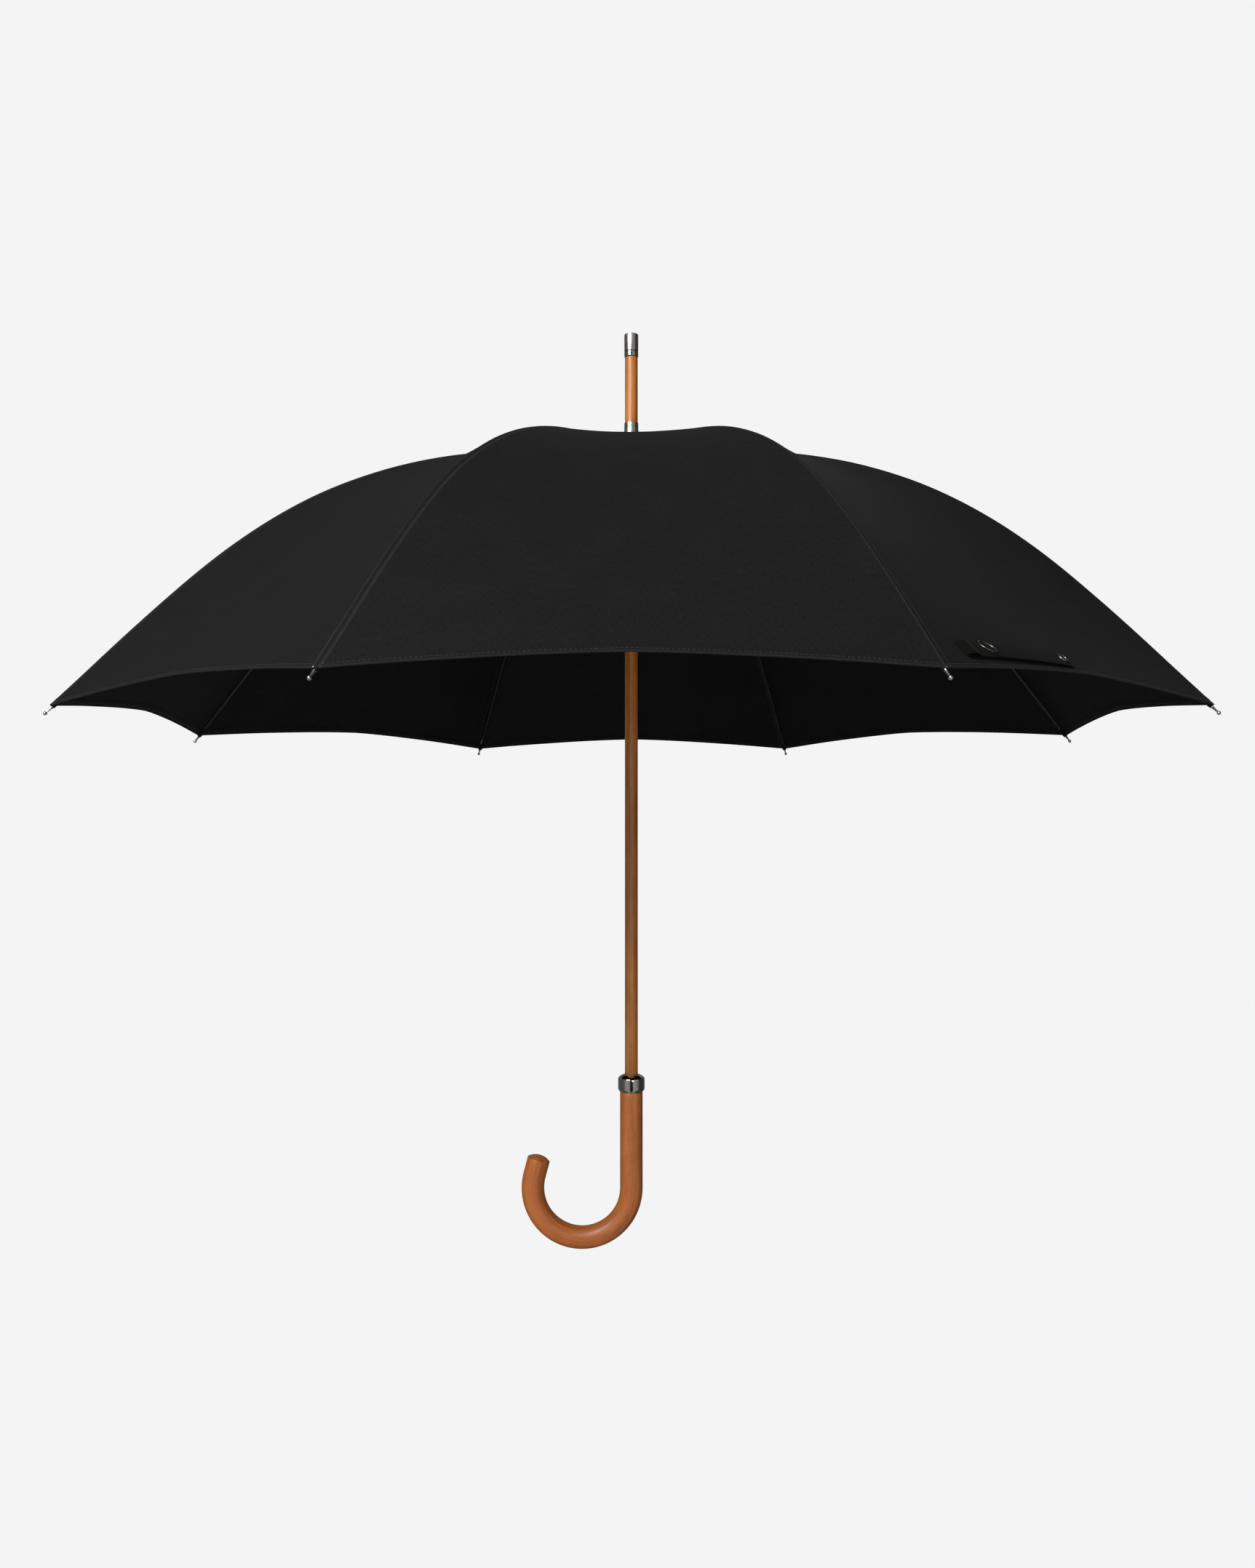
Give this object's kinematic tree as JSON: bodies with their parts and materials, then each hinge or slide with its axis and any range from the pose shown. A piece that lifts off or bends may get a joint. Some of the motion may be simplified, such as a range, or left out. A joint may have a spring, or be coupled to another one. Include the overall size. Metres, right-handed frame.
{
  "type": "stick umbrella",
  "caption": "Open stick umbrella with a curved cloth canopy on hinged ribs, a wooden shaft and a crook handle.",
  "frame": {"origin": "on the shaft's axis at the middle of the handle's straight grip, where a hand holds it", "axes": "+Z along the shaft towards the ferrule, -X towards the crook's open end, -Y towards the viewer of the picture"},
  "size_m": [0.9906, 0.9906, 0.8995],
  "materials": {
    "shaft_wood": "satin",
    "handle_wood": "satin lacquer",
    "nickel": "satin",
    "polished_nickel": "polished",
    "spring_steel": "bright drawn",
    "black_steel": "black satin",
    "glass_fibre": "satin black",
    "canopy_cloth": "fine matt weave",
    "dark_metal": "dark nickel"
  },
  "bodies": {
    "root": {"shaft": "shaft_wood", "ferrule": "nickel", "ferrule_band": "polished_nickel", "open_cap": "nickel", "top_notch": "black_steel", "notch_wire": "spring_steel", "notch_pin": "spring_steel", "crown_washer": "canopy_cloth", "stop_pin": "spring_steel", "handle_collar": "polished_nickel", "handle": "handle_wood"},
    "runner": {"runner": "black_steel", "runner_wire": "spring_steel"},
    "upper_catch": {"upper_catch_spring": "spring_steel"},
    "lower_catch": {"lower_catch_spring": "spring_steel"},
    "rib_1": {"rib_channel_1": "black_steel"},
    "rod_1": {"rib_rod_1": "glass_fibre", "ball_tip_1": "polished_nickel", "canopy_1": "canopy_cloth", "tie_strap": "canopy_cloth", "strap_ring": "dark_metal", "strap_snap": "dark_metal"},
    "stretcher_1": {"stretcher_1": "black_steel"},
    "rib_2": {"rib_channel_2": "black_steel"},
    "rod_2": {"rib_rod_2": "glass_fibre", "ball_tip_2": "polished_nickel", "canopy_2": "canopy_cloth"},
    "stretcher_2": {"stretcher_2": "black_steel"},
    "rib_3": {"rib_channel_3": "black_steel"},
    "rod_3": {"rib_rod_3": "glass_fibre", "ball_tip_3": "polished_nickel", "canopy_3": "canopy_cloth"},
    "stretcher_3": {"stretcher_3": "black_steel"},
    "rib_4": {"rib_channel_4": "black_steel"},
    "rod_4": {"rib_rod_4": "glass_fibre", "ball_tip_4": "polished_nickel", "canopy_4": "canopy_cloth"},
    "stretcher_4": {"stretcher_4": "black_steel"},
    "rib_5": {"rib_channel_5": "black_steel"},
    "rod_5": {"rib_rod_5": "glass_fibre", "ball_tip_5": "polished_nickel", "canopy_5": "canopy_cloth"},
    "stretcher_5": {"stretcher_5": "black_steel"},
    "rib_6": {"rib_channel_6": "black_steel"},
    "rod_6": {"rib_rod_6": "glass_fibre", "ball_tip_6": "polished_nickel", "canopy_6": "canopy_cloth"},
    "stretcher_6": {"stretcher_6": "black_steel"},
    "rib_7": {"rib_channel_7": "black_steel"},
    "rod_7": {"rib_rod_7": "glass_fibre", "ball_tip_7": "polished_nickel", "canopy_7": "canopy_cloth"},
    "stretcher_7": {"stretcher_7": "black_steel"},
    "rib_8": {"rib_channel_8": "black_steel"},
    "rod_8": {"rib_rod_8": "glass_fibre", "ball_tip_8": "polished_nickel", "canopy_8": "canopy_cloth"},
    "stretcher_8": {"stretcher_8": "black_steel"}
  },
  "joints": [
    {"name": "runner_slide", "type": "slide", "parent": "root", "child": "runner", "axis": [0, 0, -1], "range_m": [0, 0.36213], "deforming": ["canopy_1", "canopy_2", "canopy_3", "canopy_4", "canopy_5", "canopy_6", "canopy_7", "canopy_8", "upper_catch_spring", "lower_catch_spring", "tie_strap"]},
    {"name": "rib_1_hinge", "type": "hinge", "parent": "root", "child": "rib_1", "pos_m": [0.0044, -0.01062, 0.6686], "axis": [0.9239, 0.3827, 0], "range_deg": [0, 79.12]},
    {"name": "rib_1_flex", "type": "hinge", "parent": "rib_1", "child": "rod_1", "pos_m": [0.094, -0.22692, 0.63199], "axis": [0.9239, 0.3827, 0], "range_deg": [-30.28, 0]},
    {"name": "stretcher_1_hinge", "type": "hinge", "parent": "rib_1", "child": "stretcher_1", "pos_m": [0.094, -0.22692, 0.63199], "axis": [0.9239, 0.3827, 0], "range_deg": [-146.17, 0]},
    {"name": "rib_2_hinge", "type": "hinge", "parent": "root", "child": "rib_2", "pos_m": [0.01062, -0.0044, 0.6686], "axis": [0.3827, 0.9239, 0], "range_deg": [0, 79.12]},
    {"name": "rib_2_flex", "type": "hinge", "parent": "rib_2", "child": "rod_2", "pos_m": [0.22692, -0.094, 0.63199], "axis": [0.3827, 0.9239, 0], "range_deg": [-30.28, 0]},
    {"name": "stretcher_2_hinge", "type": "hinge", "parent": "rib_2", "child": "stretcher_2", "pos_m": [0.22692, -0.094, 0.63199], "axis": [0.3827, 0.9239, 0], "range_deg": [-146.17, 0]},
    {"name": "rib_3_hinge", "type": "hinge", "parent": "root", "child": "rib_3", "pos_m": [0.01062, 0.0044, 0.6686], "axis": [-0.3827, 0.9239, 0], "range_deg": [0, 79.12]},
    {"name": "rib_3_flex", "type": "hinge", "parent": "rib_3", "child": "rod_3", "pos_m": [0.22692, 0.094, 0.63199], "axis": [-0.3827, 0.9239, 0], "range_deg": [-30.28, 0]},
    {"name": "stretcher_3_hinge", "type": "hinge", "parent": "rib_3", "child": "stretcher_3", "pos_m": [0.22692, 0.094, 0.63199], "axis": [-0.3827, 0.9239, 0], "range_deg": [-146.17, 0]},
    {"name": "rib_4_hinge", "type": "hinge", "parent": "root", "child": "rib_4", "pos_m": [0.0044, 0.01062, 0.6686], "axis": [-0.9239, 0.3827, 0], "range_deg": [0, 79.12]},
    {"name": "rib_4_flex", "type": "hinge", "parent": "rib_4", "child": "rod_4", "pos_m": [0.094, 0.22692, 0.63199], "axis": [-0.9239, 0.3827, 0], "range_deg": [-30.28, 0]},
    {"name": "stretcher_4_hinge", "type": "hinge", "parent": "rib_4", "child": "stretcher_4", "pos_m": [0.094, 0.22692, 0.63199], "axis": [-0.9239, 0.3827, 0], "range_deg": [-146.17, 0]},
    {"name": "rib_5_hinge", "type": "hinge", "parent": "root", "child": "rib_5", "pos_m": [-0.0044, 0.01062, 0.6686], "axis": [-0.9239, -0.3827, 0], "range_deg": [0, 79.12]},
    {"name": "rib_5_flex", "type": "hinge", "parent": "rib_5", "child": "rod_5", "pos_m": [-0.094, 0.22692, 0.63199], "axis": [-0.9239, -0.3827, 0], "range_deg": [-30.28, 0]},
    {"name": "stretcher_5_hinge", "type": "hinge", "parent": "rib_5", "child": "stretcher_5", "pos_m": [-0.094, 0.22692, 0.63199], "axis": [-0.9239, -0.3827, 0], "range_deg": [-146.17, 0]},
    {"name": "rib_6_hinge", "type": "hinge", "parent": "root", "child": "rib_6", "pos_m": [-0.01062, 0.0044, 0.6686], "axis": [-0.3827, -0.9239, 0], "range_deg": [0, 79.12]},
    {"name": "rib_6_flex", "type": "hinge", "parent": "rib_6", "child": "rod_6", "pos_m": [-0.22692, 0.094, 0.63199], "axis": [-0.3827, -0.9239, 0], "range_deg": [-30.28, 0]},
    {"name": "stretcher_6_hinge", "type": "hinge", "parent": "rib_6", "child": "stretcher_6", "pos_m": [-0.22692, 0.094, 0.63199], "axis": [-0.3827, -0.9239, 0], "range_deg": [-146.17, 0]},
    {"name": "rib_7_hinge", "type": "hinge", "parent": "root", "child": "rib_7", "pos_m": [-0.01062, -0.0044, 0.6686], "axis": [0.3827, -0.9239, 0], "range_deg": [0, 79.12]},
    {"name": "rib_7_flex", "type": "hinge", "parent": "rib_7", "child": "rod_7", "pos_m": [-0.22692, -0.094, 0.63199], "axis": [0.3827, -0.9239, 0], "range_deg": [-30.28, 0]},
    {"name": "stretcher_7_hinge", "type": "hinge", "parent": "rib_7", "child": "stretcher_7", "pos_m": [-0.22692, -0.094, 0.63199], "axis": [0.3827, -0.9239, 0], "range_deg": [-146.17, 0]},
    {"name": "rib_8_hinge", "type": "hinge", "parent": "root", "child": "rib_8", "pos_m": [-0.0044, -0.01062, 0.6686], "axis": [0.9239, -0.3827, 0], "range_deg": [0, 79.12]},
    {"name": "rib_8_flex", "type": "hinge", "parent": "rib_8", "child": "rod_8", "pos_m": [-0.094, -0.22692, 0.63199], "axis": [0.9239, -0.3827, 0], "range_deg": [-30.28, 0]},
    {"name": "stretcher_8_hinge", "type": "hinge", "parent": "rib_8", "child": "stretcher_8", "pos_m": [-0.094, -0.22692, 0.63199], "axis": [0.9239, -0.3827, 0], "range_deg": [-146.17, 0]},
    {"name": "upper_catch_press", "type": "hinge", "parent": "root", "child": "upper_catch", "pos_m": [0, 0.0043, 0.4662], "axis": [1, 0, 0], "range_deg": [0, 5], "stiffness_Nm_per_rad": 2},
    {"name": "lower_catch_press", "type": "hinge", "parent": "root", "child": "lower_catch", "pos_m": [0, 0.0043, 0.19197], "axis": [-1, 0, 0], "range_deg": [0, 5], "stiffness_Nm_per_rad": 2}
  ],
  "couplings": [
    {"joint": "rib_1_hinge", "follows": "runner_slide", "rad_per_m": 3.8129},
    {"joint": "rib_1_flex", "follows": "runner_slide", "rad_per_m": -1.4587},
    {"joint": "stretcher_1_hinge", "follows": "runner_slide", "rad_per_m": -7.0445},
    {"joint": "rib_2_hinge", "follows": "runner_slide", "rad_per_m": 3.8129},
    {"joint": "rib_2_flex", "follows": "runner_slide", "rad_per_m": -1.4587},
    {"joint": "stretcher_2_hinge", "follows": "runner_slide", "rad_per_m": -7.0445},
    {"joint": "rib_3_hinge", "follows": "runner_slide", "rad_per_m": 3.8129},
    {"joint": "rib_3_flex", "follows": "runner_slide", "rad_per_m": -1.4587},
    {"joint": "stretcher_3_hinge", "follows": "runner_slide", "rad_per_m": -7.0445},
    {"joint": "rib_4_hinge", "follows": "runner_slide", "rad_per_m": 3.8129},
    {"joint": "rib_4_flex", "follows": "runner_slide", "rad_per_m": -1.4587},
    {"joint": "stretcher_4_hinge", "follows": "runner_slide", "rad_per_m": -7.0445},
    {"joint": "rib_5_hinge", "follows": "runner_slide", "rad_per_m": 3.8129},
    {"joint": "rib_5_flex", "follows": "runner_slide", "rad_per_m": -1.4587},
    {"joint": "stretcher_5_hinge", "follows": "runner_slide", "rad_per_m": -7.0445},
    {"joint": "rib_6_hinge", "follows": "runner_slide", "rad_per_m": 3.8129},
    {"joint": "rib_6_flex", "follows": "runner_slide", "rad_per_m": -1.4587},
    {"joint": "stretcher_6_hinge", "follows": "runner_slide", "rad_per_m": -7.0445},
    {"joint": "rib_7_hinge", "follows": "runner_slide", "rad_per_m": 3.8129},
    {"joint": "rib_7_flex", "follows": "runner_slide", "rad_per_m": -1.4587},
    {"joint": "stretcher_7_hinge", "follows": "runner_slide", "rad_per_m": -7.0445},
    {"joint": "rib_8_hinge", "follows": "runner_slide", "rad_per_m": 3.8129},
    {"joint": "rib_8_flex", "follows": "runner_slide", "rad_per_m": -1.4587},
    {"joint": "stretcher_8_hinge", "follows": "runner_slide", "rad_per_m": -7.0445}
  ]
}
